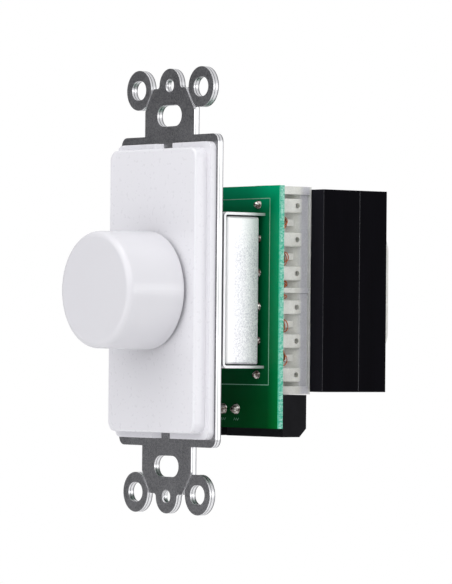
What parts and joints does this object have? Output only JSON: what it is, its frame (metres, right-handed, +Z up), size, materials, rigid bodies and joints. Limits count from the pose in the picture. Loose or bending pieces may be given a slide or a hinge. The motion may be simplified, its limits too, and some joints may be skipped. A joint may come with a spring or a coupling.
{
  "type": "in-wall rotary volume control",
  "caption": "In-wall stepped rotary volume control: white knob and bezel on a plated mounting strap, metal-cased rotary switch, circuit board, tapped transformer and screw terminal blocks.",
  "frame": {"origin": "centre of the strap's rear plane, on the shaft axis, midway between the two cover plate screws", "axes": "front (knob) towards -Y, +X to the right seen from the front, +Z up along the strap"},
  "size_m": [0.044, 0.0797, 0.1048],
  "materials": {
    "strap_steel": "zinc plated, satin",
    "white_gloss": "smooth moulded gloss",
    "knob_white": "smooth moulded, slightly softer gloss",
    "fixing_steel": "plated",
    "spring_steel": "bright spring steel",
    "shaft_steel": "turned",
    "bushing_metal": "nickel plated, turned",
    "bracket_steel": "bright plated",
    "cover_steel": "tin plated, fine grain",
    "switch_plastic": "moulded phenolic",
    "wheel_plastic": "natural acetal",
    "contact_metal": "stamped",
    "board_green": "green solder mask",
    "solder": "bright solder",
    "core_black": "black lacquer",
    "nylon": "natural nylon, slightly translucent",
    "copper_wire": "enamelled copper",
    "coil_tape": "white insulating tape",
    "tinned_pin": "tinned",
    "block_black": "moulded nylon, fine matt texture",
    "cage_metal": "nickel plated"
  },
  "bodies": {
    "body": {"mounting_strap": "strap_steel", "bezel": "white_gloss", "bezel_screws": "fixing_steel", "bushing": "bushing_metal", "lock_washer": "fixing_steel", "shaft_nut": "fixing_steel", "spacer_washer": "fixing_steel", "switch_frame": "bracket_steel", "switch_cover": "cover_steel", "detent_housing": "switch_plastic", "detent_balls": "spring_steel", "detent_springs": "spring_steel", "switch_base": "switch_plastic", "stator_contacts": "contact_metal", "circuit_board": "board_green", "transformer_solder": "solder", "terminal_solder": "solder", "core_front_e": "core_black", "core_front_i": "core_black", "core_rear_e": "core_black", "core_rear_i": "core_black", "bobbin": "nylon", "winding": "copper_wire", "coil_tape": "coil_tape", "transformer_pins": "tinned_pin", "terminal_pins": "tinned_pin", "tap_leads_right": "copper_wire", "tap_leads_left": "copper_wire", "terminal_block_right": "block_black", "terminal_bars_right": "contact_metal", "terminal_block_left": "block_black", "terminal_bars_left": "contact_metal"},
    "knob": {"knob": "knob_white", "knob_clip": "spring_steel", "shaft": "shaft_steel", "shaft_e_clip": "spring_steel", "detent_wheel": "wheel_plastic", "rotor": "wheel_plastic", "wipers": "contact_metal"},
    "terminal_screw_right_1": {"terminal_screw_right_1": "fixing_steel"},
    "clamp_cage_right_1": {"clamp_cage_right_1": "cage_metal"},
    "terminal_screw_right_2": {"terminal_screw_right_2": "fixing_steel"},
    "clamp_cage_right_2": {"clamp_cage_right_2": "cage_metal"},
    "terminal_screw_right_3": {"terminal_screw_right_3": "fixing_steel"},
    "clamp_cage_right_3": {"clamp_cage_right_3": "cage_metal"},
    "terminal_screw_right_4": {"terminal_screw_right_4": "fixing_steel"},
    "clamp_cage_right_4": {"clamp_cage_right_4": "cage_metal"},
    "terminal_screw_left_1": {"terminal_screw_left_1": "fixing_steel"},
    "clamp_cage_left_1": {"clamp_cage_left_1": "cage_metal"},
    "terminal_screw_left_2": {"terminal_screw_left_2": "fixing_steel"},
    "clamp_cage_left_2": {"clamp_cage_left_2": "cage_metal"},
    "terminal_screw_left_3": {"terminal_screw_left_3": "fixing_steel"},
    "clamp_cage_left_3": {"clamp_cage_left_3": "cage_metal"},
    "terminal_screw_left_4": {"terminal_screw_left_4": "fixing_steel"},
    "clamp_cage_left_4": {"clamp_cage_left_4": "cage_metal"}
  },
  "joints": [
    {"name": "knob_turn", "type": "hinge", "parent": "body", "child": "knob", "pos_m": [0, 0, 0], "axis": [0, 1, 0], "range_deg": [0, 330]},
    {"name": "terminal_screw_right_1_turn", "type": "hinge", "parent": "body", "child": "terminal_screw_right_1", "pos_m": [0.00425, 0.0221, -0.0303], "axis": [0, -1, 0], "range_deg": [0, 1080]},
    {"name": "clamp_cage_right_1_rise", "type": "slide", "parent": "body", "child": "clamp_cage_right_1", "axis": [0, 1, 0], "range_m": [0, 0.00135]},
    {"name": "terminal_screw_right_2_turn", "type": "hinge", "parent": "body", "child": "terminal_screw_right_2", "pos_m": [0.00925, 0.0221, -0.0303], "axis": [0, -1, 0], "range_deg": [0, 1080]},
    {"name": "clamp_cage_right_2_rise", "type": "slide", "parent": "body", "child": "clamp_cage_right_2", "axis": [0, 1, 0], "range_m": [0, 0.00135]},
    {"name": "terminal_screw_right_3_turn", "type": "hinge", "parent": "body", "child": "terminal_screw_right_3", "pos_m": [0.01425, 0.0221, -0.0303], "axis": [0, -1, 0], "range_deg": [0, 1080]},
    {"name": "clamp_cage_right_3_rise", "type": "slide", "parent": "body", "child": "clamp_cage_right_3", "axis": [0, 1, 0], "range_m": [0, 0.00135]},
    {"name": "terminal_screw_right_4_turn", "type": "hinge", "parent": "body", "child": "terminal_screw_right_4", "pos_m": [0.01925, 0.0221, -0.0303], "axis": [0, -1, 0], "range_deg": [0, 1080]},
    {"name": "clamp_cage_right_4_rise", "type": "slide", "parent": "body", "child": "clamp_cage_right_4", "axis": [0, 1, 0], "range_m": [0, 0.00135]},
    {"name": "terminal_screw_left_1_turn", "type": "hinge", "parent": "body", "child": "terminal_screw_left_1", "pos_m": [-0.00425, 0.0221, -0.0303], "axis": [0, -1, 0], "range_deg": [0, 1080]},
    {"name": "clamp_cage_left_1_rise", "type": "slide", "parent": "body", "child": "clamp_cage_left_1", "axis": [0, 1, 0], "range_m": [0, 0.00135]},
    {"name": "terminal_screw_left_2_turn", "type": "hinge", "parent": "body", "child": "terminal_screw_left_2", "pos_m": [-0.00925, 0.0221, -0.0303], "axis": [0, -1, 0], "range_deg": [0, 1080]},
    {"name": "clamp_cage_left_2_rise", "type": "slide", "parent": "body", "child": "clamp_cage_left_2", "axis": [0, 1, 0], "range_m": [0, 0.00135]},
    {"name": "terminal_screw_left_3_turn", "type": "hinge", "parent": "body", "child": "terminal_screw_left_3", "pos_m": [-0.01425, 0.0221, -0.0303], "axis": [0, -1, 0], "range_deg": [0, 1080]},
    {"name": "clamp_cage_left_3_rise", "type": "slide", "parent": "body", "child": "clamp_cage_left_3", "axis": [0, 1, 0], "range_m": [0, 0.00135]},
    {"name": "terminal_screw_left_4_turn", "type": "hinge", "parent": "body", "child": "terminal_screw_left_4", "pos_m": [-0.01925, 0.0221, -0.0303], "axis": [0, -1, 0], "range_deg": [0, 1080]},
    {"name": "clamp_cage_left_4_rise", "type": "slide", "parent": "body", "child": "clamp_cage_left_4", "axis": [0, 1, 0], "range_m": [0, 0.00135]}
  ],
  "couplings": [
    {"joint": "terminal_screw_right_1_turn", "follows": "clamp_cage_right_1_rise", "rad_per_m": 13963},
    {"joint": "terminal_screw_right_2_turn", "follows": "clamp_cage_right_2_rise", "rad_per_m": 13963},
    {"joint": "terminal_screw_right_3_turn", "follows": "clamp_cage_right_3_rise", "rad_per_m": 13963},
    {"joint": "terminal_screw_right_4_turn", "follows": "clamp_cage_right_4_rise", "rad_per_m": 13963},
    {"joint": "terminal_screw_left_1_turn", "follows": "clamp_cage_left_1_rise", "rad_per_m": 13963},
    {"joint": "terminal_screw_left_2_turn", "follows": "clamp_cage_left_2_rise", "rad_per_m": 13963},
    {"joint": "terminal_screw_left_3_turn", "follows": "clamp_cage_left_3_rise", "rad_per_m": 13963},
    {"joint": "terminal_screw_left_4_turn", "follows": "clamp_cage_left_4_rise", "rad_per_m": 13963}
  ]
}
